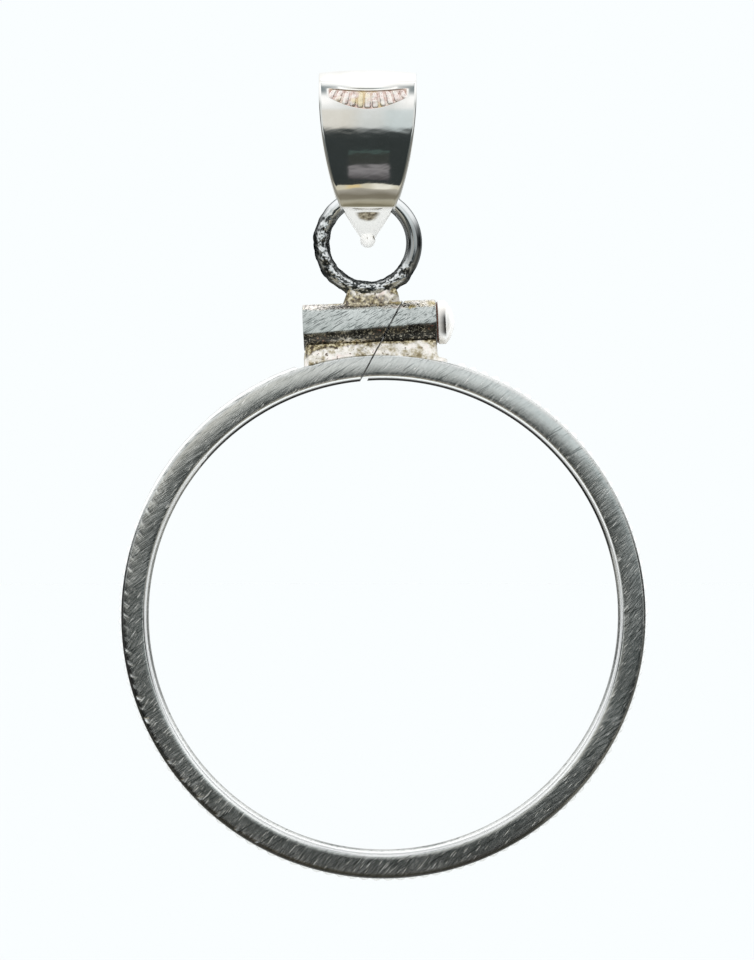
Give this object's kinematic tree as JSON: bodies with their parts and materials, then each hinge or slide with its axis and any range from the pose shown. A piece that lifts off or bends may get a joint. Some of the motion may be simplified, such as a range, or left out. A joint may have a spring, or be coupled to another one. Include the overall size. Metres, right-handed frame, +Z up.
{
  "type": "coin bezel pendant",
  "caption": "Hanging pendant that frames a coin: a lipped channel ring with a reeded edge, opened by a screw in a tube, hung by a loop from a folded bail.",
  "frame": {"origin": "inner top of the bail, where the chain carries it, midway across the bail", "axes": "+Z up, -Y the front, +X to the right as seen from the front; the bail is upright and the ring hangs with its faces square to Y, leaning 2.4 degrees about Y"},
  "size_m": [0.0257, 0.0042, 0.0394],
  "materials": {
    "polished_silver": "hand-polished sterling silver",
    "brushed_silver": "file-brushed sterling silver with pitted solder",
    "screw_silver": "turned and polished sterling silver"
  },
  "bodies": {
    "bail": {"bail": "polished_silver"},
    "bezel": {"bezel": "brushed_silver"},
    "screw": {"screw": "screw_silver"}
  },
  "joints": [
    {"name": "bezel_swing", "type": "hinge", "parent": "bail", "child": "bezel", "pos_m": [0, 0, -0.00573], "axis": [1, 0, 0], "range_deg": [-75, 75]},
    {"name": "screw_travel", "type": "slide", "parent": "bezel", "child": "screw", "axis": [0.9991, 0, 0.0419], "range_m": [0, 0.0042]}
  ]
}
